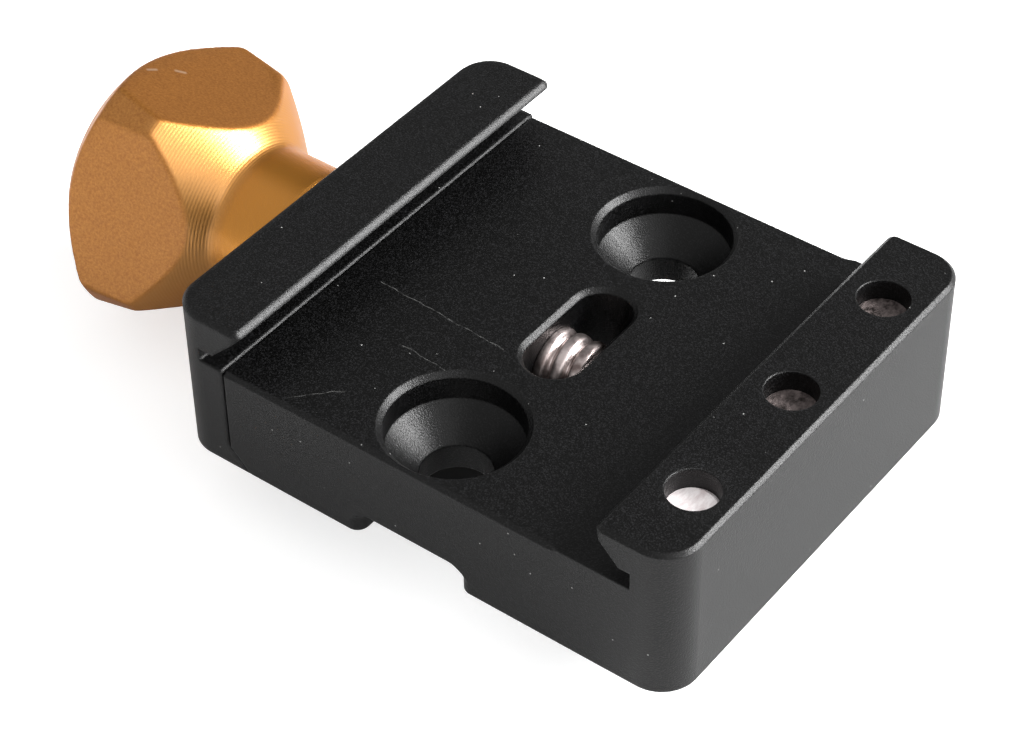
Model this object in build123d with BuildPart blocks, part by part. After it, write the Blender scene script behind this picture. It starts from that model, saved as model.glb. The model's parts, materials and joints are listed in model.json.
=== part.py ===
from build123d import *
import math
import os

os.makedirs("parts", exist_ok=True)

# Quick release clamp for dovetail camera plates, in millimetres.
# The origin lies on the seat plane, midway between the two countersunk holes.
# X runs across the plate towards the fixed jaw, Y along the dovetail, Z up.

# Outer sizes of the body and both jaws
clamp_length = 38.0
deck_height = 9.3
jaw_height = 13.6
fixed_side = 23.2
body_side = 16.9
corner_radius = 3.0
top_break = 0.3
rim_angle = 90.0

# Fixed jaw, cut from the body
fixed_lip = 16.3
fixed_lip_break = 0.4
fixed_lip_land = 0.2
fixed_relief_height = 1.5
fixed_relief_reach = 0.95
lip_corner_radius = 0.8

# Deck edges, broken by a cone cutter that runs out before the fixed jaw
deck_break = 0.32
deck_break_end = 12.2
deck_cutter_radius = 3.0

# Countersunk holes for the two screws that hold the clamp down
screw_spacing = 26.3
screw_hole_radius = 2.75
screw_head_radius = 5.25
screw_head_depth = 2.4
screw_sink_angle = 90.0
screw_rim_break = 0.45

# Slot over the end of the clamp screw
slot_centre = 1.37
slot_width = 4.65
slot_length = 10.7
slot_break = 0.4

# Channel along the underside, between two feet
channel_half_width = 4.55
channel_height = 2.2
channel_mouth_radius = 1.0
channel_fillet = 1.2
body_foot_break = 1.75

# Blind holes in the top of the fixed jaw, each with a pressed steel disc
disc_pitch = 12.2
disc_place = 19.87
disc_hole_radius = 2.0
disc_hole_depth = 2.05
disc_hole_break = 0.04
disc_clearance = 0.02
disc_thickness = 0.3

# Moving jaw, drawn where it closes on the body
jaw_gap = 0.2
moving_wall = 5.0
moving_lip = 15.2
moving_lip_break = 0.48
moving_relief_height = 1.15
moving_relief_reach = 1.35
ledge_break = 0.12
toe_gap = 0.1

# Clamp screw and its run in the body
screw_axis_height = 4.9
screw_radius = 3.0
screw_end = 3.3
screw_end_break = 0.5
screw_seat_in_knob = 9.0
screw_clearance = 0.05
jaw_screw_clearance = 0.1
knob_screw_clearance = 0.01

# Guide pins, pressed into the moving jaw and sliding in the body
pin_spacing = 19.0
pin_axis_height = 4.9
pin_radius = 1.5
pin_seat_depth = 4.0
pin_reach = 10.4
pin_end_break = 0.25
pin_clearance = 0.03
pin_bore_spare = 0.6

# Return spring round the screw, in a counterbore of the body; its wire has five sides
spring_wire_radius = 0.22
spring_mean_radius = 3.45
spring_turns = 3
spring_wire_sides = 5
spring_pocket_clearance = 0.13
spring_pocket_depth = 5.0
spring_end_gap = 0.03

# Thrust washer between knob and jaw
washer_radius = 5.2
washer_thickness = 0.5
washer_gap = 0.02
washer_bore_clearance = 0.05

# Knob, turned and then cut with four tapered flats
knob_length = 19.9
knob_end_radius = 8.9
knob_end_break = 0.6
knob_crown_radius = 12.0
knob_crown_setback = 2.6
knob_crown_rounding = 0.8
knob_waist_radius = 11.4
knob_waist_setback = 7.1
knob_waist_rounding = 1.0
knob_neck_radius = 6.2
knob_neck_setback = 12.75
knob_neck_ease = 0.5
knob_neck_break = 0.9
knob_neck_break_length = 1.6
knob_flat_angle = 72.9
knob_flat_taper = 11.0
knob_flat_distance = 8.98
knob_flat_setback = 4.55
knob_flat_count = 4

# Places that follow from the sizes above
half_length = clamp_length / 2
moving_inner = body_side + jaw_gap
moving_side = moving_inner + moving_wall
washer_side = moving_side + washer_gap + washer_thickness
neck_face = washer_side + washer_gap
knob_end = neck_face + knob_length
spring_pocket_radius = spring_mean_radius + spring_wire_radius + spring_pocket_clearance
cut_beyond = 2.0
screw_line = Plane(origin=(0, 0, screw_axis_height), x_dir=(1, 0, 0), z_dir=(0, -1, 0))
screw_axis = Axis((0, 0, screw_axis_height), (1, 0, 0))


def across_plane(x, height):
    """A plane square to X whose normal points away from the knob."""
    return Plane(origin=(x, 0, height), x_dir=(0, 1, 0), z_dir=(1, 0, 0))


# Tool shape: the underside channel, its mouths rounded in plan and its ceiling filleted
with BuildPart() as channel_cutter:
    with BuildSketch():
        Rectangle(2 * (channel_half_width + channel_mouth_radius), clamp_length + 2 * cut_beyond)
        foot_centre = channel_half_width + fixed_side / 2
        with Locations((-foot_centre, 0), (foot_centre, 0)):
            RectangleRounded(fixed_side, clamp_length, channel_mouth_radius, mode=Mode.SUBTRACT)
    extrude(amount=channel_height)
    ceiling_edges = channel_cutter.faces().sort_by(Axis.Z)[-1].edges()
    fillet(ceiling_edges.filter_by_position(Axis.Y, -half_length, half_length), radius=channel_fillet)

# Tool shape: the lip corners of a jaw, what lies outside the rounded plan
with BuildPart() as lip_corner_cutter:
    with BuildSketch():
        with Locations((lip_corner_radius / 2, 0)):
            Rectangle(lip_corner_radius, clamp_length + 2 * cut_beyond)
        with Locations((fixed_side / 2, 0)):
            RectangleRounded(fixed_side, clamp_length, lip_corner_radius, mode=Mode.SUBTRACT)
    extrude(amount=jaw_height - deck_height)

# Tool shape: the cone cutter's path along the front and the rear deck edge
with BuildPart() as deck_edge_cutter:
    cutter_line = deck_break - half_length - deck_cutter_radius
    with BuildSketch(Plane.YZ.offset(-body_side - cut_beyond)):
        with BuildLine():
            Polyline(
                (cutter_line, deck_height - deck_cutter_radius),
                (cutter_line, deck_height),
                (cutter_line + deck_cutter_radius, deck_height),
                close=True,
            )
        make_face()
    extrude(amount=body_side + cut_beyond + deck_break_end)
    with BuildSketch(Plane.XZ.offset(-cutter_line)):
        with BuildLine():
            Polyline(
                (deck_break_end, deck_height - deck_cutter_radius),
                (deck_break_end, deck_height),
                (deck_break_end + deck_cutter_radius, deck_height),
                close=True,
            )
        make_face()
    revolve(axis=Axis((deck_break_end, cutter_line, 0), (0, 0, 1)))
    mirror(about=Plane.XZ)


with BuildPart() as base_body:
    fixed_undercut_top = jaw_height - fixed_lip_break - fixed_lip_land
    fixed_relief_top = deck_height + fixed_relief_height
    fixed_root = fixed_lip + fixed_undercut_top - fixed_relief_top
    fixed_relief_wall = fixed_root + fixed_relief_reach
    # Section across the dovetail: feet, deck, root relief, 45 degree undercut and lip
    with BuildSketch(Plane.XZ):
        with BuildLine():
            Polyline(
                (body_foot_break - body_side, 0),
                (fixed_side, 0),
                (fixed_side, jaw_height),
                (fixed_lip + fixed_lip_break, jaw_height),
                (fixed_lip, jaw_height - fixed_lip_break),
                (fixed_lip, fixed_undercut_top),
                (fixed_root, fixed_relief_top),
                (fixed_relief_wall, fixed_relief_top),
                (fixed_relief_wall, deck_height),
                (-body_side, deck_height),
                (-body_side, body_foot_break),
                close=True,
            )
        make_face()
    extrude(amount=half_length, both=True)
    fillet(base_body.edges().filter_by(Axis.Z).group_by(Axis.X)[-1], radius=corner_radius)
    with Locations((fixed_lip, 0, fixed_relief_top)):
        add(lip_corner_cutter.part, mode=Mode.SUBTRACT)
    # Broken edge round the jaw's top, up to the lip
    jaw_top = base_body.faces().filter_by(Axis.Z).sort_by(Axis.Z)[-1]
    chamfer(jaw_top.edges().sort_by(Axis.X)[1:], length=top_break)
    add(channel_cutter.part, mode=Mode.SUBTRACT)
    # Hold-down screw holes: broken rim, straight head pocket, cone and through hole
    head_floor = deck_height - screw_head_depth
    with Locations(Plane.XY.offset(deck_height)):
        with GridLocations(0, screw_spacing, 1, 2):
            rim_radius = screw_head_radius + screw_rim_break
            CounterSinkHole(screw_head_radius, rim_radius, screw_head_depth, rim_angle)
    with Locations(Plane.XY.offset(head_floor)):
        with GridLocations(0, screw_spacing, 1, 2):
            CounterSinkHole(screw_hole_radius, screw_head_radius, head_floor, screw_sink_angle)
    # Slot over the screw's end, down to the channel, with a broken rim
    with BuildSketch(Plane.XY.offset(deck_height)):
        with Locations((slot_centre, 0)):
            SlotOverall(slot_length, slot_width, rotation=90)
    extrude(amount=-deck_height, mode=Mode.SUBTRACT)
    with BuildSketch(Plane.XY.offset(deck_height)):
        with Locations((slot_centre, 0)):
            SlotOverall(slot_length + 2 * slot_break, slot_width + 2 * slot_break, rotation=90)
    extrude(amount=-slot_break, taper=rim_angle / 2, mode=Mode.SUBTRACT)
    # Broken edges along the front and the rear of the deck
    add(deck_edge_cutter.part, mode=Mode.SUBTRACT)
    # Screw run, with the spring's pocket at its mouth
    with Locations(across_plane(-body_side, screw_axis_height)):
        Cylinder(spring_pocket_radius, 2 * spring_pocket_depth, mode=Mode.SUBTRACT)
        Cylinder(screw_radius + screw_clearance, 2 * (body_side + slot_centre), mode=Mode.SUBTRACT)
    # Guide pin bores
    with Locations(across_plane(-body_side, pin_axis_height)):
        with GridLocations(pin_spacing, 0, 2, 1):
            pin_bore_depth = pin_reach - jaw_gap + pin_bore_spare
            Cylinder(pin_radius + pin_clearance, 2 * pin_bore_depth, mode=Mode.SUBTRACT)
    # Blind holes for the steel discs
    with Locations(Plane.XY.offset(jaw_height)):
        with Locations((disc_place, -disc_pitch), (disc_place, 0), (disc_place, disc_pitch)):
            CounterSinkHole(disc_hole_radius, disc_hole_radius + disc_hole_break, disc_hole_depth, rim_angle)

base_body.part.label = "base_body"
export_step(base_body.part, "parts/base_body.step")


with BuildPart() as moving_jaw:
    moving_undercut_top = jaw_height - moving_lip_break
    moving_relief_top = deck_height + moving_relief_height
    moving_root = moving_lip + moving_undercut_top - moving_relief_top
    moving_relief_wall = moving_root + moving_relief_reach
    toe_end = body_side - body_foot_break + toe_gap
    # Section: outer wall, lip, 45 degree undercut, root relief, ledge, toe under the body
    with BuildSketch(Plane.XZ):
        with BuildLine():
            Polyline(
                (-moving_side, 0),
                (-toe_end, 0),
                (-moving_inner, moving_inner - toe_end),
                (-moving_inner, deck_height - ledge_break),
                (-moving_inner - ledge_break, deck_height),
                (-moving_relief_wall, deck_height),
                (-moving_relief_wall, moving_relief_top),
                (-moving_root, moving_relief_top),
                (-moving_lip, moving_undercut_top),
                (-moving_lip - moving_lip_break, jaw_height),
                (-moving_side, jaw_height),
                close=True,
            )
        make_face()
    extrude(amount=half_length, both=True)
    # Outer corners, rounded in plan
    with BuildSketch():
        with Locations((-moving_side / 2, 0)):
            plan = Rectangle(moving_side, clamp_length)
        fillet(plan.vertices().group_by(Axis.X)[0], radius=corner_radius)
    extrude(amount=jaw_height, mode=Mode.INTERSECT)
    with Locations(Location((-moving_lip, 0, moving_relief_top), (0, 0, 180))):
        add(lip_corner_cutter.part, mode=Mode.SUBTRACT)
    jaw_top = moving_jaw.faces().filter_by(Axis.Z).sort_by(Axis.Z)[-1]
    chamfer(jaw_top.edges().sort_by(Axis.X)[:-1], length=top_break)
    # Bore for the clamp screw and seats for the guide pins
    with Locations(across_plane(-moving_side, screw_axis_height)):
        Cylinder(screw_radius + jaw_screw_clearance, 2 * (moving_wall + cut_beyond), mode=Mode.SUBTRACT)
    # The spring's seat, cut clear through the toe
    with Locations(across_plane(-moving_inner, screw_axis_height)):
        Cylinder(
            spring_pocket_radius,
            moving_inner - toe_end,
            align=(Align.CENTER, Align.CENTER, Align.MIN),
            mode=Mode.SUBTRACT,
        )
    with Locations(across_plane(-moving_inner, pin_axis_height)):
        with GridLocations(pin_spacing, 0, 2, 1):
            Cylinder(pin_radius, 2 * pin_seat_depth, mode=Mode.SUBTRACT)

moving_jaw.part.label = "moving_jaw"
export_step(moving_jaw.part, "parts/moving_jaw.step")


for name, side in (("guide_pin_front", -1), ("guide_pin_rear", 1)):
    with BuildPart() as guide_pin:
        pin_start = Plane(
            origin=(-moving_inner - pin_seat_depth, side * pin_spacing / 2, pin_axis_height),
            x_dir=(0, 1, 0),
            z_dir=(1, 0, 0),
        )
        with BuildSketch(pin_start):
            Circle(pin_radius)
        extrude(amount=pin_seat_depth + pin_reach)
        chamfer(guide_pin.edges().filter_by(GeomType.CIRCLE), length=pin_end_break)
    guide_pin.part.label = name
    export_step(guide_pin.part, f"parts/{name}.step")


with BuildPart() as return_spring:
    coil_start = -moving_inner + spring_end_gap + spring_wire_radius
    coil_end = spring_pocket_depth - body_side - spring_end_gap - spring_wire_radius
    coil_length = coil_end - coil_start
    with BuildLine():
        coil = Helix(
            coil_length / spring_turns,
            coil_length,
            spring_mean_radius,
            center=(coil_start, 0, screw_axis_height),
            direction=(1, 0, 0),
        )
    with BuildSketch(Plane(origin=coil @ 0, z_dir=coil % 0)):
        RegularPolygon(spring_wire_radius, spring_wire_sides)
    sweep(path=coil, is_frenet=True)

return_spring.part.label = "return_spring"
export_step(return_spring.part, "parts/return_spring.step")


for name, place in (("jaw_disc_front", -disc_pitch), ("jaw_disc_middle", 0), ("jaw_disc_rear", disc_pitch)):
    with BuildPart() as jaw_disc:
        with BuildSketch(Plane.XY.offset(jaw_height - disc_hole_depth)):
            with Locations((disc_place, place)):
                Circle(disc_hole_radius - disc_clearance)
        extrude(amount=disc_thickness)
    jaw_disc.part.label = name
    export_step(jaw_disc.part, f"parts/{name}.step")


with BuildPart() as clamp_screw:
    with BuildSketch(screw_line):
        with BuildLine():
            screw_start = screw_seat_in_knob + neck_face
            Polyline(
                (-screw_start, 0),
                (screw_end, 0),
                (screw_end, screw_radius - screw_end_break),
                (screw_end - screw_end_break, screw_radius),
                (-screw_start, screw_radius),
                close=True,
            )
        make_face()
    revolve(axis=screw_axis)

clamp_screw.part.label = "clamp_screw"
export_step(clamp_screw.part, "parts/clamp_screw.step")


with BuildPart() as thrust_washer:
    with BuildSketch(across_plane(-washer_side, screw_axis_height)):
        Circle(washer_radius)
        Circle(screw_radius + washer_bore_clearance, mode=Mode.SUBTRACT)
    extrude(amount=washer_thickness)

thrust_washer.part.label = "thrust_washer"
export_step(thrust_washer.part, "parts/thrust_washer.step")


with BuildPart() as knob:
    # Turned outline from the end face to the neck, above the screw's axis
    with BuildSketch(screw_line):
        with BuildLine():
            neck_end = -neck_face - knob_neck_break_length
            neck_start = knob_neck_setback - knob_end
            FilletPolyline(
                (knob_end_break - knob_end, knob_end_radius + knob_end_break),
                (knob_crown_setback - knob_end, knob_crown_radius),
                (knob_waist_setback - knob_end, knob_waist_radius),
                (neck_start - knob_neck_ease, knob_neck_radius + knob_neck_ease),
                radius=[knob_crown_rounding, knob_waist_rounding],
            )
            Polyline(
                (neck_start - knob_neck_ease, knob_neck_radius + knob_neck_ease),
                (neck_start + knob_neck_ease, knob_neck_radius),
                (neck_end, knob_neck_radius),
                (-neck_face, knob_neck_radius - knob_neck_break),
                (-neck_face, 0),
                (-knob_end, 0),
                (-knob_end, knob_end_radius),
                (knob_end_break - knob_end, knob_end_radius + knob_end_break),
            )
        make_face()
    revolve(axis=screw_axis)
    # Tapered flats that leave four rounded corners
    taper = math.radians(knob_flat_taper)
    for flat in range(knob_flat_count):
        turn = math.radians(knob_flat_angle + flat * 360 / knob_flat_count)
        flat_plane = Plane(
            origin=(
                knob_flat_setback - knob_end,
                knob_flat_distance * math.cos(turn),
                screw_axis_height + knob_flat_distance * math.sin(turn),
            ),
            z_dir=(
                math.sin(taper),
                math.cos(taper) * math.cos(turn),
                math.cos(taper) * math.sin(turn),
            ),
        )
        with BuildSketch(flat_plane):
            Rectangle(4 * knob_crown_radius, 4 * knob_crown_radius)
        extrude(amount=knob_crown_radius, mode=Mode.SUBTRACT)
    # Bore that takes the head of the clamp screw
    with Locations(across_plane(-neck_face, screw_axis_height)):
        Cylinder(screw_radius + knob_screw_clearance, 2 * screw_seat_in_knob, mode=Mode.SUBTRACT)

knob.part.label = "knob"
export_step(knob.part, "parts/knob.step")
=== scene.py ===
import json
import math
import bpy
from mathutils import Matrix, Vector


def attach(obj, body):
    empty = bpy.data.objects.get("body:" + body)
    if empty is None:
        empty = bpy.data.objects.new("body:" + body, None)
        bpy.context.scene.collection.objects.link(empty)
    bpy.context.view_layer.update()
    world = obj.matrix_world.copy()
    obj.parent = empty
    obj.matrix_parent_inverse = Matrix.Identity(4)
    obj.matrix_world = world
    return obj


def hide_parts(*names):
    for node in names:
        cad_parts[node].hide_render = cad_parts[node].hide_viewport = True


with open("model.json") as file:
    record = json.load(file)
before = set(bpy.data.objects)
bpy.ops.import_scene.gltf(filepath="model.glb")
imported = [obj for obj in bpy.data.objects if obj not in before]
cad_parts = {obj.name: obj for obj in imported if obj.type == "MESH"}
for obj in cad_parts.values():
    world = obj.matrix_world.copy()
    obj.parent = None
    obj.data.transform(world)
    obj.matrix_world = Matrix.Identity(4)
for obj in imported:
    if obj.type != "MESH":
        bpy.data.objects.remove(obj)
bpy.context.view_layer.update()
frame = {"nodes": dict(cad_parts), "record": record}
bpy.ops.object.select_all(action="DESELECT")

MM = 0.001
# Height of the screw's and the knob's axis above the seat
AXIS_HEIGHT = 4.9 * MM


def linear(code):
    """An sRGB hex colour as linear RGBA."""
    parts = [int(code[i:i + 2], 16) / 255 for i in (1, 3, 5)]
    return tuple(c / 12.92 if c <= 0.04045 else ((c + 0.055) / 1.055) ** 2.4 for c in parts) + (1.0,)


def add(tree, kind, sockets=None, **settings):
    """Adds a node with its settings; a socket's value is a number, a colour or another node's output."""
    node = tree.nodes.new(kind)
    for name, value in settings.items():
        setattr(node, name, value)
    for name, value in (sockets or {}).items():
        if isinstance(value, bpy.types.NodeSocket):
            tree.links.new(value, node.inputs[name])
        else:
            node.inputs[name].default_value = value
    return node


def new_material(name):
    """An empty node material with its output node."""
    material = bpy.data.materials.new(name)
    material.use_nodes = True
    material.node_tree.nodes.clear()
    tree = material.node_tree
    return material, tree, tree.nodes.new("ShaderNodeOutputMaterial")


def dress(piece, material):
    """One material over the whole piece."""
    piece.data.materials.clear()
    piece.data.materials.append(material)


# Setting up: camera, floor and light

# The camera was solved from the straight edges of the photographed clamp
CAMERA_PLACE = Vector((95.996, -130.574, 153.942)) * MM
CAMERA_RIGHT = Vector((0.79787, 0.60272, -0.01199)).normalized()
CAMERA_BACK = Vector((0.44995, -0.58216, 0.67723)).normalized()
CAMERA_LENS = 102.87
CAMERA_SENSOR = 36.0
CAMERA_NEAR = 0.01

# The knob hangs below the seat, so the floor lies just under it
FLOOR_HEIGHT = -6.5 * MM
FLOOR_SIZE = 4.0
# Light that the floor adds for the camera alone, so that it shows white
FLOOR_LIFT = 0.6
# The patch of floor seen through the front hold-down hole, where a shadow of the clamp is painted on: dark
# grey and without the lift
PAINTED_SHADOW_PLACE = (-7.2 * MM, -4.0 * MM, 0)
PAINTED_SHADOW_RADIUS = 3.0 * MM
PAINTED_SHADOW_FADED = 8.0 * MM

# A pale room with a dark screen high at the back, which the level faces reflect
ROOM_LEVEL = 0.66
SCREEN_LEVEL = 0.2
SCREEN_WAY = Vector((-0.45, 0.62, 0.64)).normalized()
# Cosines of the angles from its middle at which the screen ends, and at which it is whole
SCREEN_END = 0.85
SCREEN_WHOLE = 0.97

# Name, place in metres, width and height in metres, power in watts
SOFTBOXES = [
    ("main_softbox", (0.70, 0.56, 0.58), (0.55, 0.38), 25.0),
    ("side_card", (0.90, 0.30, 0.05), (0.80, 0.40), 24.0),
    ("fill_softbox", (0.62, -0.36, 0.64), (0.60, 0.50), 1.3),
]

# The narrow beam comes down from here, seen from the disc that it lights
BEAM_OFFSET = Vector((0.02, 0.02, 0.2))
BEAM_ANGLE = math.radians(1.5)
BEAM_BLEND = 0.4
BEAM_LAMP_RADIUS = 2.0 * MM
BEAM_POWER = 1.05


def set_camera():
    """The camera at the photo's viewing angle."""
    bpy.ops.object.camera_add()
    camera = bpy.context.object
    camera.name = "camera"
    up = CAMERA_BACK.cross(CAMERA_RIGHT)
    turned = Matrix((CAMERA_RIGHT, up, CAMERA_BACK)).transposed().to_4x4()
    camera.matrix_world = Matrix.Translation(CAMERA_PLACE) @ turned
    camera.data.sensor_width = CAMERA_SENSOR
    camera.data.lens = CAMERA_LENS
    camera.data.clip_start = CAMERA_NEAR
    bpy.context.scene.camera = camera
    bpy.context.scene.view_settings.view_transform = "Standard"


def set_floor():
    """Matt white card, which stays white to the camera where it is lit and takes a soft shadow, with a
    painted shadow under the clamp.
    """
    bpy.ops.mesh.primitive_plane_add(size=FLOOR_SIZE, location=(0, 0, FLOOR_HEIGHT))
    floor = bpy.context.object
    floor.name = "floor"
    material, tree, out = new_material("matt_white_card")
    path = add(tree, "ShaderNodeLightPath")
    place = add(tree, "ShaderNodeTexCoord").outputs["Object"]
    # Painted shadow: near the patch's place the card is painted dark grey and gets no lift
    gap = add(tree, "ShaderNodeVectorMath", {0: place, 1: PAINTED_SHADOW_PLACE}, operation="DISTANCE")
    outside_painted_shadow = add(
        tree, "ShaderNodeMapRange",
        {"Value": gap.outputs["Value"], "From Min": PAINTED_SHADOW_RADIUS, "From Max": PAINTED_SHADOW_FADED},
        interpolation_type="SMOOTHSTEP").outputs[0]
    tone = add(tree, "ShaderNodeMix", {
        "Factor": outside_painted_shadow, "A": linear("#343434"), "B": linear("#DEDEDE")}, data_type="RGBA")
    card = add(tree, "ShaderNodeBsdfDiffuse", {"Color": tone.outputs["Result"]})
    shown = add(tree, "ShaderNodeMath", {0: path.outputs["Is Camera Ray"], 1: outside_painted_shadow},
                operation="MULTIPLY")
    lift = add(tree, "ShaderNodeMath", {0: shown.outputs[0], 1: FLOOR_LIFT}, operation="MULTIPLY")
    glow = add(tree, "ShaderNodeEmission", {"Color": linear("#FFFFFF"), "Strength": lift.outputs[0]})
    both = add(tree, "ShaderNodeAddShader", {0: card.outputs[0], 1: glow.outputs[0]})
    tree.links.new(both.outputs[0], out.inputs["Surface"])
    dress(floor, material)


def set_world():
    """The pale room with its dark screen, which is plain white to the camera."""
    world = bpy.data.worlds.new("studio")
    bpy.context.scene.world = world
    world.use_nodes = True
    tree = world.node_tree
    tree.nodes.clear()
    path = add(tree, "ShaderNodeLightPath")
    way = add(tree, "ShaderNodeTexCoord").outputs["Generated"]
    turn = add(tree, "ShaderNodeVectorMath", {0: way, 1: SCREEN_WAY}, operation="DOT_PRODUCT")
    level = add(tree, "ShaderNodeMapRange", {
        "Value": turn.outputs["Value"], "From Min": SCREEN_END, "From Max": SCREEN_WHOLE,
        "To Min": ROOM_LEVEL, "To Max": SCREEN_LEVEL})
    room = add(tree, "ShaderNodeBackground", {"Color": linear("#FFFFFF"), "Strength": level.outputs[0]})
    seen = add(tree, "ShaderNodeBackground", {"Color": linear("#FFFFFF"), "Strength": 1.0})
    mix = add(tree, "ShaderNodeMixShader", {
        0: path.outputs["Is Camera Ray"], 1: room.outputs[0], 2: seen.outputs[0]})
    out = add(tree, "ShaderNodeOutputWorld")
    tree.links.new(mix.outputs[0], out.inputs["Surface"])


def add_softbox(name, place, size, power):
    """A rectangular softbox, turned towards the clamp."""
    bpy.ops.object.light_add(type="AREA", location=place)
    lamp = bpy.context.object
    lamp.name = name
    lamp.data.shape = "RECTANGLE"
    lamp.data.size, lamp.data.size_y = size
    lamp.data.energy = power
    lamp.rotation_euler = (-Vector(place)).to_track_quat("-Z", "Y").to_euler()


def light_disc(disc):
    """A narrow beam down one jaw hole, onto its disc alone."""
    centre = sum((disc.matrix_world @ Vector(corner) for corner in disc.bound_box), Vector()) / 8
    bpy.ops.object.light_add(type="SPOT", location=centre + BEAM_OFFSET)
    beam = bpy.context.object
    beam.name = "disc_beam"
    beam.data.spot_size = BEAM_ANGLE
    beam.data.spot_blend = BEAM_BLEND
    beam.data.shadow_soft_size = BEAM_LAMP_RADIUS
    beam.data.energy = BEAM_POWER
    beam.rotation_euler = (centre - beam.location).to_track_quat("-Z", "Y").to_euler()


# Materials

def line_through(*spots):
    """A run of points given in millimetres."""
    return [Vector(spot) * MM for spot in spots]


def combine(tree, masks, operation="MAXIMUM"):
    """The masks taken together, two by two."""
    whole = masks[0]
    for mask in masks[1:]:
        whole = add(tree, "ShaderNodeMath", {0: whole, 1: mask}, operation=operation).outputs[0]
    return whole


def stain(tree, place, spots, half_width, fade):
    """A mask that is 1 within half_width of a run of points and fades out over the width fade."""
    gaps = []
    for start, end in zip(spots, spots[1:]):
        run = end - start
        offset = add(tree, "ShaderNodeVectorMath", {0: place, 1: start}, operation="SUBTRACT")
        along = add(tree, "ShaderNodeVectorMath", {0: offset.outputs[0], 1: run / run.length_squared},
                    operation="DOT_PRODUCT")
        held = add(tree, "ShaderNodeClamp", {"Value": along.outputs["Value"]})
        foot = add(tree, "ShaderNodeVectorMath", {0: run, "Scale": held.outputs[0]}, operation="SCALE")
        gap = add(tree, "ShaderNodeVectorMath", {0: offset.outputs[0], 1: foot.outputs[0]},
                  operation="DISTANCE")
        gaps.append(gap.outputs["Value"])
    return add(tree, "ShaderNodeMapRange", {
        "Value": combine(tree, gaps, "MINIMUM"), "From Min": half_width, "From Max": half_width + fade,
        "To Min": 1.0, "To Max": 0.0}).outputs[0]


def stains(tree, place, lines, half_width, fade):
    """The masks of several runs of points as one."""
    return combine(tree, [stain(tree, place, spots, half_width, fade) for spots in lines])


# Blasting pits about 0.1 mm across, drawn a little coarser than real so that they show
BLAST_PIT = 0.12 * MM
BLAST_DEPTH = 0.03 * MM
BLAST_TONES = ((0.5, "#000000"), (0.7, "#1A1A1B"))

# Hairline scratches on the deck and the right face, which sway a little and are broken up
SCRATCHES = [
    line_through((-14.0, -4.3, 9.3), (-8.0, -4.5, 9.3), (-2.0, -4.8, 9.3)),
    line_through((-8.5, -8.9, 9.3), (-4.0, -9.1, 9.3)),
    line_through((-11.4, -18.2, 9.3), (-10.0, -16.6, 9.3), (-8.5, -15.2, 9.3)),
    line_through((23.2, 15.0, 12.8), (23.2, 13.2, 12.9), (23.2, 11.4, 12.9)),
]
SCRATCH_HALF_WIDTH = 0.01 * MM
SCRATCH_FADE = 0.05 * MM
SCRATCH_BREAK = 0.5 * MM
SCRATCH_SWAY = 0.6 * MM
SCRATCH_SWAY_LENGTH = 1.6 * MM

# Dust specks about 0.1 mm across: their spacing, and their core and rim in parts of it
SPECK_SPACING = 1.7 * MM
SPECK_CORE = 0.02
SPECK_RIM = 0.045
SPECK_STRENGTH = 0.8
# The share of the places that stays free of dust
SPECK_FREE = 0.25


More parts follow.
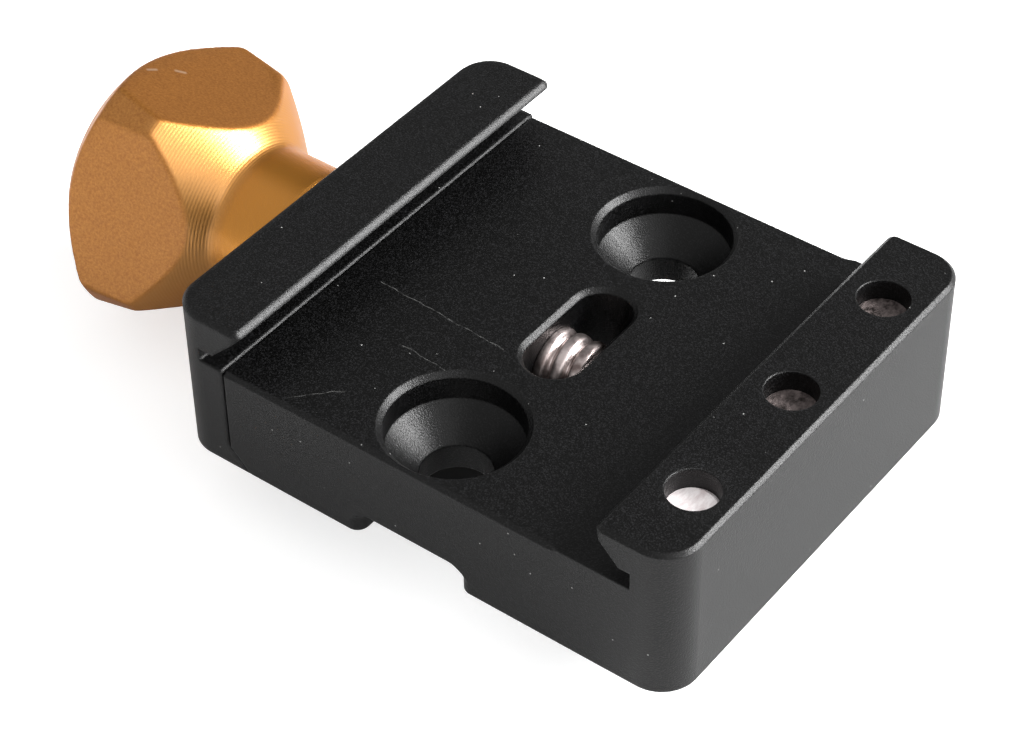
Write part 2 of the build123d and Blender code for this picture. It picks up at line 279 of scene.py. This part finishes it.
def bead_blasted_black(name, edge_radius):
    """Black anodised aluminium, bead-blasted: near-black, dull, fine even grain, edges softened."""
    material, tree, out = new_material(name)
    place = add(tree, "ShaderNodeTexCoord").outputs["Object"]
    grain = add(tree, "ShaderNodeTexNoise", {
        "Vector": place, "Scale": 1 / BLAST_PIT, "Detail": 1.0, "Roughness": 0.6})
    tone = add(tree, "ShaderNodeValToRGB", {"Fac": grain.outputs["Fac"]})
    for stop, (level, code) in zip(tone.color_ramp.elements, BLAST_TONES):
        stop.position, stop.color = level, linear(code)
    # Scratches down to pale metal
    broken = add(tree, "ShaderNodeTexNoise", {"Vector": place, "Scale": 1 / SCRATCH_BREAK, "Detail": 2.0})
    kept = add(tree, "ShaderNodeMapRange", {
        "Value": broken.outputs["Fac"], "From Min": 0.4, "From Max": 0.6, "To Min": 0.02, "To Max": 0.16})
    sway = add(tree, "ShaderNodeTexNoise", {
        "Vector": place, "Scale": 1 / SCRATCH_SWAY_LENGTH, "Detail": 2.0})
    swung = add(tree, "ShaderNodeVectorMath", {0: sway.outputs["Color"], 1: (0.5, 0.5, 0.5)},
                operation="SUBTRACT")
    moved = add(tree, "ShaderNodeVectorMath", {
        0: swung.outputs[0], 1: (SCRATCH_SWAY, SCRATCH_SWAY, 0), 2: place}, operation="MULTIPLY_ADD")
    lines = stains(tree, moved.outputs[0], SCRATCHES, SCRATCH_HALF_WIDTH, SCRATCH_FADE)
    scratched = combine(tree, [lines, kept.outputs[0]], "MULTIPLY")
    # A few pale specks of dust
    cells = add(tree, "ShaderNodeTexVoronoi", {"Vector": place, "Scale": 1 / SPECK_SPACING})
    draw = add(tree, "ShaderNodeSeparateColor", {"Color": cells.outputs["Color"]})
    chosen = add(tree, "ShaderNodeMath", {0: draw.outputs[0], 1: SPECK_FREE}, operation="GREATER_THAN")
    dot = add(tree, "ShaderNodeMapRange", {
        "Value": cells.outputs["Distance"], "From Min": SPECK_CORE, "From Max": SPECK_RIM,
        "To Min": SPECK_STRENGTH, "To Max": 0.0})
    dust = combine(tree, [chosen.outputs[0], dot.outputs[0]], "MULTIPLY")
    worn = add(tree, "ShaderNodeMix", {
        "Factor": combine(tree, [scratched, dust]), "A": tone.outputs["Color"], "B": linear("#B4B4B2")},
        data_type="RGBA")
    dull = add(tree, "ShaderNodeMapRange", {"Value": grain.outputs["Fac"], "To Min": 0.33, "To Max": 0.43})
    edge = add(tree, "ShaderNodeBevel", {"Radius": edge_radius}, samples=12)
    bump = add(tree, "ShaderNodeBump", {
        "Strength": 1.0, "Distance": BLAST_DEPTH, "Height": grain.outputs["Fac"],
        "Normal": edge.outputs[0]})
    shader = add(tree, "ShaderNodeBsdfPrincipled", {
        "Base Color": worn.outputs["Result"], "Roughness": dull.outputs["Result"],
        "Specular IOR Level": 0.3, "Normal": bump.outputs[0]})
    tree.links.new(shader.outputs[0], out.inputs["Surface"])
    return material


# The knob's four milled flats: the turn of the first about the axis and their taper towards the neck,
# in degrees, then their distance from the axis and their place along X, in millimetres
FLAT_COUNT = 4
FLAT_ANGLE = 72.9
FLAT_TAPER = 11.0
FLAT_DISTANCE = 8.98
FLAT_PLACE = -37.99
# The turned surface starts this far under a flat's plane and is whole at the second depth
TURNED_START = 0.05 * MM
TURNED_WHOLE = 0.25 * MM

# Feed marks of the turning tool, and the blasted grain between them
TURNING_FEED = 0.2 * MM
KNOB_GRAIN = 0.2 * MM
KNOB_RELIEF = 0.014 * MM
KNOB_TONES = ((0.3, "#A2662A"), (0.7, "#C48640"))

# Places along X, each from where a change starts to where it is whole
CONE_START = (-36.2 * MM, -34.8 * MM)
CONE_END = (-30.2 * MM, -28.6 * MM)
NECK_START = (-30.0 * MM, -28.8 * MM)

# Two pale rubs on the top flat, and small dark nicks at its rim and on the neck
KNOB_RUBS = [
    line_through((-40.74, -0.14, 14.9), (-40.46, 0.46, 14.66)),
    line_through((-39.66, 1.86, 14.06), (-39.15, 2.32, 13.82)),
]
RUB_HALF_WIDTH = 0.02 * MM
RUB_FADE = 0.2 * MM
RUB_STRENGTH = 0.55
KNOB_NICKS = [
    line_through((-31.2, 0.6, 12.7), (-31.0, 0.7, 12.65)),
    line_through((-25.15, -0.73, 10.86), (-24.8, -0.85, 10.85), (-24.46, -0.75, 10.84)),
]
NICK_HALF_WIDTH = 0.06 * MM
NICK_FADE = 0.12 * MM
NICK_STRENGTH = 0.6


def knob_flats():
    """A point and the outward normal of each of the knob's flats."""
    taper = math.radians(FLAT_TAPER)
    planes = []
    for turn in range(FLAT_COUNT):
        angle = math.radians(FLAT_ANGLE + 360 / FLAT_COUNT * turn)
        spoke = Vector((0, math.cos(angle), math.sin(angle)))
        centre = Vector((FLAT_PLACE * MM, 0, AXIS_HEIGHT)) + spoke * FLAT_DISTANCE * MM
        planes.append((centre, (spoke * math.cos(taper) + Vector((math.sin(taper), 0, 0))).normalized()))
    return planes


def turned_gold():
    """Gold anodised aluminium: turned rings on the round parts, a fine blasted grain on the flats."""
    material, tree, out = new_material("gold_anodised_aluminium_turned")
    place = add(tree, "ShaderNodeTexCoord").outputs["Object"]
    grain = add(tree, "ShaderNodeTexNoise", {
        "Vector": place, "Scale": 1 / KNOB_GRAIN, "Detail": 3.0, "Roughness": 0.7})
    tone = add(tree, "ShaderNodeValToRGB", {"Fac": grain.outputs["Fac"]})
    for stop, (level, code) in zip(tone.color_ramp.elements, KNOB_TONES):
        stop.position, stop.color = level, linear(code)
    # A wave texture has 20 bands in each tau of its scaled length
    rings = add(tree, "ShaderNodeTexWave", {"Vector": place, "Scale": math.tau / (20 * TURNING_FEED)},
                wave_type="BANDS", bands_direction="X", wave_profile="SIN")
    heights = []
    for centre, normal in knob_flats():
        offset = add(tree, "ShaderNodeVectorMath", {0: place, 1: centre}, operation="SUBTRACT")
        height = add(tree, "ShaderNodeVectorMath", {0: offset.outputs[0], 1: normal},
                     operation="DOT_PRODUCT")
        heights.append(height.outputs["Value"])
    turned = add(tree, "ShaderNodeMapRange", {
        "Value": combine(tree, heights), "From Min": -TURNED_WHOLE, "From Max": -TURNED_START,
        "To Min": 1.0, "To Max": 0.0}).outputs[0]
    # The cone between the rim and the neck is painted a paler gold, a painted highlight
    along = add(tree, "ShaderNodeSeparateXYZ", {"Vector": place}).outputs["X"]
    cone_start = add(tree, "ShaderNodeMapRange", {
        "Value": along, "From Min": CONE_START[0], "From Max": CONE_START[1]})
    cone_end = add(tree, "ShaderNodeMapRange", {
        "Value": along, "From Min": CONE_END[0], "From Max": CONE_END[1], "To Min": 1.0, "To Max": 0.0})
    cone = combine(tree, [cone_start.outputs[0], cone_end.outputs[0], turned], "MULTIPLY")
    cone_painted_highlight = add(tree, "ShaderNodeMix", {
        "Factor": cone, "A": tone.outputs["Color"], "B": linear("#C68C4A")}, data_type="RGBA")
    # The neck is painted a brighter gold than the flats, painted light
    neck_start = add(tree, "ShaderNodeMapRange", {
        "Value": along, "From Min": NECK_START[0], "From Max": NECK_START[1]})
    neck = combine(tree, [neck_start.outputs[0], turned], "MULTIPLY")
    neck_painted_light = add(tree, "ShaderNodeMix", {
        "Factor": neck, "A": cone_painted_highlight.outputs["Result"], "B": linear("#CE8A32")}, data_type="RGBA")
    rubs = stains(tree, place, KNOB_RUBS, RUB_HALF_WIDTH, RUB_FADE)
    nicks = stains(tree, place, KNOB_NICKS, NICK_HALF_WIDTH, NICK_FADE)
    rub = add(tree, "ShaderNodeMath", {0: rubs, 1: RUB_STRENGTH}, operation="MULTIPLY")
    nick = add(tree, "ShaderNodeMath", {0: nicks, 1: NICK_STRENGTH}, operation="MULTIPLY")
    rubbed = add(tree, "ShaderNodeMix", {
        "Factor": rub.outputs[0], "A": neck_painted_light.outputs["Result"], "B": linear("#F2DCC4")}, data_type="RGBA")
    nicked = add(tree, "ShaderNodeMix", {
        "Factor": nick.outputs[0], "A": rubbed.outputs["Result"], "B": linear("#4A2A18")},
        data_type="RGBA")
    cut = combine(tree, [rings.outputs["Fac"], turned], "MULTIPLY")
    relief = combine(tree, [cut, grain.outputs["Fac"]], "ADD")
    bump = add(tree, "ShaderNodeBump", {"Strength": 0.5, "Distance": KNOB_RELIEF, "Height": relief})
    dull = add(tree, "ShaderNodeMapRange", {"Value": turned, "To Min": 0.46, "To Max": 0.40})
    shader = add(tree, "ShaderNodeBsdfPrincipled", {
        "Base Color": nicked.outputs["Result"], "Metallic": 1.0, "Roughness": dull.outputs[0],
        "Specular Tint": linear("#E8B578"), "Coat Weight": 0.6, "Coat Roughness": 0.25,
        "Normal": bump.outputs[0]})
    tree.links.new(shader.outputs[0], out.inputs["Surface"])
    return material


# Mottling of the steel plugs, and the way in which they were wiped
MOTTLE_SIZE = 0.7 * MM
MOTTLE_DEPTH = 0.02 * MM
WIPE_TURN = math.radians(35)


def mottled_plug(name, dark, pale, streak):
    """Dull steel plug: mottled between two tones, streaked along one direction."""
    material, tree, out = new_material(name)
    place = add(tree, "ShaderNodeTexCoord").outputs["Object"]
    stretched = add(tree, "ShaderNodeMapping", {
        "Vector": place, "Rotation": (0, 0, WIPE_TURN), "Scale": (1.0, streak, 1.0)})
    mottle = add(tree, "ShaderNodeTexNoise", {
        "Vector": stretched.outputs[0], "Scale": 1 / MOTTLE_SIZE, "Detail": 6.0, "Roughness": 0.7})
    tone = add(tree, "ShaderNodeValToRGB", {"Fac": mottle.outputs["Fac"]})
    for stop, (level, code) in zip(tone.color_ramp.elements, ((0.38, dark), (0.62, pale))):
        stop.position, stop.color = level, linear(code)
    bump = add(tree, "ShaderNodeBump", {
        "Strength": 0.4, "Distance": MOTTLE_DEPTH, "Height": mottle.outputs["Fac"]})
    shader = add(tree, "ShaderNodeBsdfPrincipled", {
        "Base Color": tone.outputs["Color"], "Metallic": 0.1, "Roughness": 0.4, "Normal": bump.outputs[0]})
    tree.links.new(shader.outputs[0], out.inputs["Surface"])
    return material


# Tool marks run round the axis, so across it the pattern has this share of its scale along it
MARK_STRETCH = 0.08
MARK_DEPTH = 0.01 * MM
DIRT_SIZE = 1.2 * MM


def bright_steel(name, code, roughness, mark_pitch):
    """Machined steel: pale and glossy, with fine tool marks round the axis and a little dirt."""
    material, tree, out = new_material(name)
    place = add(tree, "ShaderNodeTexCoord").outputs["Object"]
    stretched = add(tree, "ShaderNodeMapping", {
        "Vector": place, "Scale": (1.0, MARK_STRETCH, MARK_STRETCH)})
    marks = add(tree, "ShaderNodeTexNoise", {
        "Vector": stretched.outputs[0], "Scale": 1 / mark_pitch, "Detail": 3.0, "Roughness": 0.6})
    blotch = add(tree, "ShaderNodeTexNoise", {"Vector": place, "Scale": 1 / DIRT_SIZE, "Detail": 4.0})
    dirt = add(tree, "ShaderNodeMapRange", {
        "Value": blotch.outputs["Fac"], "From Min": 0.42, "From Max": 0.66, "To Max": 0.8})
    colour = add(tree, "ShaderNodeMix", {
        "Factor": dirt.outputs[0], "A": linear(code), "B": linear("#4A342E")}, data_type="RGBA")
    dull = add(tree, "ShaderNodeMapRange", {
        "Value": marks.outputs["Fac"], "To Min": roughness * 0.8, "To Max": roughness * 1.3})
    bump = add(tree, "ShaderNodeBump", {
        "Strength": 0.2, "Distance": MARK_DEPTH, "Height": marks.outputs["Fac"]})
    shader = add(tree, "ShaderNodeBsdfPrincipled", {
        "Base Color": colour.outputs["Result"], "Metallic": 1.0, "Roughness": dull.outputs["Result"],
        "Normal": bump.outputs[0]})
    tree.links.new(shader.outputs[0], out.inputs["Surface"])
    return material


# Pieces

# Points closer than this are one
SAME_POINT = 0.0001 * MM

# The knob's turned outline, (place along X, radius, rounding) in millimetres, from end face to neck
KNOB_OUTLINE = [
    (-42.54, 8.9, 0.4), (-41.94, 9.5, 0.6), (-39.94, 12.0, 0.9), (-35.44, 11.4, 1.0),
    (-29.79, 6.2, 1.2), (-24.24, 6.2, 0.3), (-22.64, 5.3, 0.2),
]
KNOB_SIDES = 144
KNOB_SLIVER = 0.02 * MM
# Even small faces, then smoothing, ease every edge by about 0.3 mm
KNOB_FACE = 0.17 * MM
KNOB_EASE = 0.5
KNOB_EASE_ROUNDS = 8
KNOB_SMOOTH_ANGLE = 60


def rounded(outline, steps=5):
    """The outline with each inner corner rounded off by its own radius."""
    points = [outline[0][:2]]
    for before, corner, after in zip(outline, outline[1:], outline[2:]):
        here = Vector(corner[:2])
        one = (Vector(before[:2]) - here).normalized()
        two = (Vector(after[:2]) - here).normalized()
        half = math.acos(max(-1.0, min(1.0, one.dot(two)))) / 2
        middle = here + (one + two).normalized() * corner[2] / math.sin(half)
        start = here + one * corner[2] / math.tan(half) - middle
        end = here + two * corner[2] / math.tan(half) - middle
        for step in range(steps + 1):
            spoke = start.lerp(end, step / steps).normalized() * corner[2]
            points.append(tuple(middle + spoke))
    points.append(outline[-1][:2])
    return points


def turned_solid(name, outline, sides):
    """A solid of revolution about the screw's axis, pulled ring by ring out of a disc."""
    places = [(x * MM, r * MM) for x, r in outline]
    bpy.ops.mesh.primitive_circle_add(vertices=sides, radius=places[0][1], fill_type="NGON",
                                      location=(places[0][0], 0, AXIS_HEIGHT), rotation=(0, math.pi / 2, 0))
    piece = bpy.context.object
    piece.name = name
    bpy.ops.object.transform_apply(location=True, rotation=True, scale=True)
    bpy.ops.object.mode_set(mode="EDIT")
    bpy.ops.mesh.select_all(action="SELECT")
    for (x0, r0), (x1, r1) in zip(places, places[1:]):
        bpy.ops.mesh.extrude_region_move(TRANSFORM_OT_translate={"value": (x1 - x0, 0, 0)})
        bpy.ops.transform.resize(value=(1, r1 / r0, r1 / r0), center_override=(x1, 0, AXIS_HEIGHT))
    bpy.ops.mesh.select_all(action="SELECT")
    bpy.ops.mesh.remove_doubles(threshold=SAME_POINT)
    bpy.ops.mesh.normals_make_consistent(inside=False)
    bpy.ops.object.mode_set(mode="OBJECT")
    return piece


def finish_mesh(piece, angle):
    """Applies the modifiers, smooths below the angle and leaves the piece at the origin."""
    bpy.ops.object.select_all(action="DESELECT")
    piece.select_set(True)
    bpy.context.view_layer.objects.active = piece
    for modifier in list(piece.modifiers):
        bpy.ops.object.modifier_apply(modifier=modifier.name)
    bpy.ops.object.transform_apply(location=True, rotation=True, scale=True)
    bpy.ops.object.shade_smooth_by_angle(angle=math.radians(angle))
    bpy.ops.object.select_all(action="DESELECT")


def make_knob():
    """The knob: turned, cut by the flats, then all sharp edges eased."""
    knob = turned_solid("turned_knob", rounded(KNOB_OUTLINE), KNOB_SIDES)
    bpy.ops.object.mode_set(mode="EDIT")
    for centre, normal in knob_flats():
        bpy.ops.mesh.select_all(action="SELECT")
        bpy.ops.mesh.bisect(plane_co=centre, plane_no=normal, use_fill=True, clear_outer=True)
    bpy.ops.mesh.select_all(action="SELECT")
    bpy.ops.mesh.remove_doubles(threshold=KNOB_SLIVER)
    bpy.ops.mesh.normals_make_consistent(inside=False)
    bpy.ops.object.mode_set(mode="OBJECT")
    even = knob.modifiers.new("even", "REMESH")
    even.mode = "VOXEL"
    even.voxel_size = KNOB_FACE
    ease = knob.modifiers.new("ease", "SMOOTH")
    ease.factor = KNOB_EASE
    ease.iterations = KNOB_EASE_ROUNDS
    finish_mesh(knob, KNOB_SMOOTH_ANGLE)
    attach(knob, "knob_and_screw")
    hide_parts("knob")
    return knob


# The screw's radius, its ends along X and the chamfer at its free end, in millimetres
SCREW_RADIUS = 3.0
SCREW_START = -31.6
SCREW_END = 3.3
SCREW_END_BREAK = 0.5
SCREW_STEPS = 48
SCREW_MERGE = 0.001 * MM
SCREW_SMOOTH_ANGLE = 50
# One pitch of its thread, (place along X, radius) in millimetres: wide round crest, narrow root
THREAD_PITCH = 1.5
THREAD = [(0.0, 2.52), (0.1, 2.56), (0.2, 2.76), (0.34, 2.92), (0.52, 2.99), (0.75, 3.0),
          (0.98, 2.99), (1.16, 2.92), (1.3, 2.76), (1.4, 2.56), (1.5, 2.52)]
# Turns wound beyond the screw's length, so that both ends can be cut clean
SPARE_TURNS = 3
TURNS_BEFORE_START = 2


def make_screw():
    """The clamp screw, with its thread wound round the axis and its end chamfered."""
    bpy.ops.mesh.primitive_grid_add(x_subdivisions=len(THREAD) - 1, y_subdivisions=1, size=2)
    screw = bpy.context.object
    screw.name = "threaded_screw"
    # One row of the grid's points becomes the thread's profile, and the other goes
    bpy.ops.object.mode_set(mode="EDIT")
    bpy.ops.mesh.select_all(action="DESELECT")
    bpy.ops.object.mode_set(mode="OBJECT")
    for corner in screw.data.vertices:
        corner.select = corner.co.y > 0
    bpy.ops.object.mode_set(mode="EDIT")
    bpy.ops.mesh.delete(type="VERT")
    bpy.ops.object.mode_set(mode="OBJECT")
    line = sorted(screw.data.vertices, key=lambda corner: corner.co.x)
    for corner, (x, r) in zip(line, THREAD):
        corner.co = (x * MM, 0, r * MM)
    wind = screw.modifiers.new("wind", "SCREW")
    wind.axis = "X"
    wind.steps = wind.render_steps = SCREW_STEPS
    wind.iterations = math.ceil((SCREW_END - SCREW_START) / THREAD_PITCH) + SPARE_TURNS
    wind.screw_offset = THREAD_PITCH * MM
    wind.use_merge_vertices = True
    wind.merge_threshold = SCREW_MERGE
    bpy.ops.object.modifier_apply(modifier="wind")
    # Up to the axis, along to its place, and squeezed to the chamfer at the free end
    low = min(corner.co.x for corner in screw.data.vertices)
    for corner in screw.data.vertices:
        x = corner.co.x - low + (SCREW_START - TURNS_BEFORE_START * THREAD_PITCH) * MM
        room = (SCREW_RADIUS - SCREW_END_BREAK) * MM + max(0.0, SCREW_END * MM - x)
        radius = math.hypot(corner.co.y, corner.co.z)
        squeeze = min(1.0, room / radius)
        corner.co = (x, corner.co.y * squeeze, corner.co.z * squeeze + AXIS_HEIGHT)
    bpy.ops.object.mode_set(mode="EDIT")
    for x, side in ((SCREW_START, -1), (SCREW_END, 1)):
        bpy.ops.mesh.select_all(action="SELECT")
        bpy.ops.mesh.bisect(plane_co=(x * MM, 0, AXIS_HEIGHT), plane_no=(side, 0, 0),
                            use_fill=True, clear_outer=True)
    bpy.ops.mesh.select_all(action="SELECT")
    bpy.ops.mesh.normals_make_consistent(inside=False)
    bpy.ops.object.mode_set(mode="OBJECT")
    finish_mesh(screw, SCREW_SMOOTH_ANGLE)
    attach(screw, "knob_and_screw")
    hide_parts("clamp_screw")
    return screw


set_camera()
set_floor()
set_world()
for softbox in SOFTBOXES:
    add_softbox(*softbox)
light_disc(frame["nodes"]["jaw_disc_front"])

# The moving jaw's edges are worn rounder than the base's
BASE_EDGE = 0.22 * MM
JAW_EDGE = 0.5 * MM
black = bead_blasted_black("black_anodised_aluminium_bead_blasted", BASE_EDGE)
soft_black = bead_blasted_black("black_anodised_aluminium_tumbled_edges", JAW_EDGE)
gold = turned_gold()
steel = bright_steel("bright_steel_machined", "#D8CBC8", roughness=0.34, mark_pitch=0.3 * MM)
spring_wire = bright_steel("spring_steel_drawn", "#9A9A9A", roughness=0.35, mark_pitch=0.2 * MM)
# The front plug's streaky mottling is its own, but its near-white tone is a painted reflection of the light
# that falls on it
pale_disc_painted_reflection = mottled_plug("steel_plug_pale_painted_reflection", dark="#D8CCCC", pale="#FFFAFA", streak=0.3)
# The middle and rear plugs take a darker copy of the same plug finish
dark_disc = mottled_plug("steel_plug_dark", dark="#2A2422", pale="#8A7E7C", streak=0.7)

dress(make_knob(), gold)
dress(make_screw(), steel)
slots = {row["node"]: row["material_slot"] for row in frame["record"]["subparts"]}
slot_finishes = {"black_anodised": black, "gold_anodised": gold,
                 "steel": steel, "spring_steel": spring_wire}
own_finishes = {"moving_jaw": soft_black, "jaw_disc_front": pale_disc_painted_reflection,
                "jaw_disc_middle": dark_disc, "jaw_disc_rear": dark_disc}
for name, node in frame["nodes"].items():
    dress(node, own_finishes.get(name, slot_finishes[slots[name]]))
